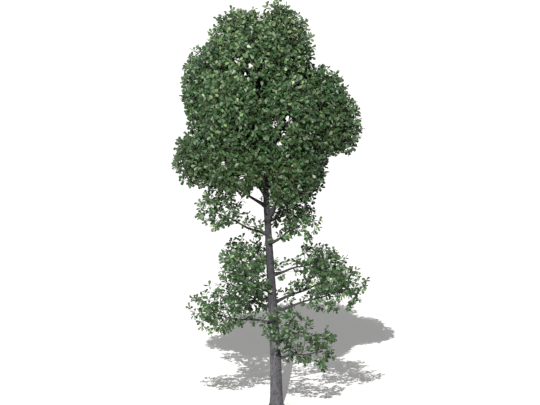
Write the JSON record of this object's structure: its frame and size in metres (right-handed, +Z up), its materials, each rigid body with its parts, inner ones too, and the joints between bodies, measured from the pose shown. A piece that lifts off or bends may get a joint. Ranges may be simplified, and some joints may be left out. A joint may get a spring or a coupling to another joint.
{
  "type": "swamp white oak tree",
  "caption": "Tall young swamp white oak: a leaning tapered trunk with flared foot, side boughs and separate masses of leafy twigs, open low down and dense above.",
  "frame": {"origin": "middle of the trunk's flat cut at ground level", "axes": "+Z up the trunk; +X to the right and -Y towards the viewer in the reference view, in which the trunk leans left, to -X"},
  "size_m": [7.2368, 6.2368, 15.076],
  "materials": {
    "bark": "rough furrowed grey bark",
    "leaves": "matt mid to dark green leaves"
  },
  "bodies": {
    "root": {"bough_left_back": "bark", "bough_left_front": "bark", "bough_low_back": "bark", "bough_low_left": "bark", "bough_low_right": "bark", "bough_mid_back": "bark", "bough_mid_left": "bark", "bough_mid_right": "bark", "bough_right_back": "bark", "bough_right_low": "bark", "bough_right_mid": "bark", "bough_side_left": "bark", "bough_side_left_back": "bark", "bough_side_left_front": "bark", "bough_side_right_back": "bark", "bough_side_right_front": "bark", "bough_side_right_high": "bark", "bough_side_right_low": "bark", "bough_top_left": "bark", "bough_top_right": "bark", "bough_under_left": "bark", "bough_under_left_back": "bark", "bough_under_left_front": "bark", "bough_under_right": "bark", "bough_under_right_back": "bark", "bough_under_right_front": "bark", "leaves_leader": "leaves", "leaves_left_back": "leaves", "leaves_left_front": "leaves", "leaves_low_back": "leaves", "leaves_low_front": "leaves", "leaves_low_left": "leaves", "leaves_low_right": "leaves", "leaves_mid_back": "leaves", "leaves_mid_left": "leaves", "leaves_mid_right": "leaves", "leaves_right_back": "leaves", "leaves_right_low": "leaves", "leaves_right_mid": "leaves", "leaves_side_left": "leaves", "leaves_side_left_back": "leaves", "leaves_side_left_front": "leaves", "leaves_side_right_back": "leaves", "leaves_side_right_front": "leaves", "leaves_side_right_high": "leaves", "leaves_side_right_low": "leaves", "leaves_top_back": "leaves", "leaves_top_front": "leaves", "leaves_top_left": "leaves", "leaves_top_right": "leaves", "leaves_under_left": "leaves", "leaves_under_left_back": "leaves", "leaves_under_left_front": "leaves", "leaves_under_right": "leaves", "leaves_under_right_back": "leaves", "leaves_under_right_front": "leaves", "trunk": "bark"}
  },
  "joints": []
}
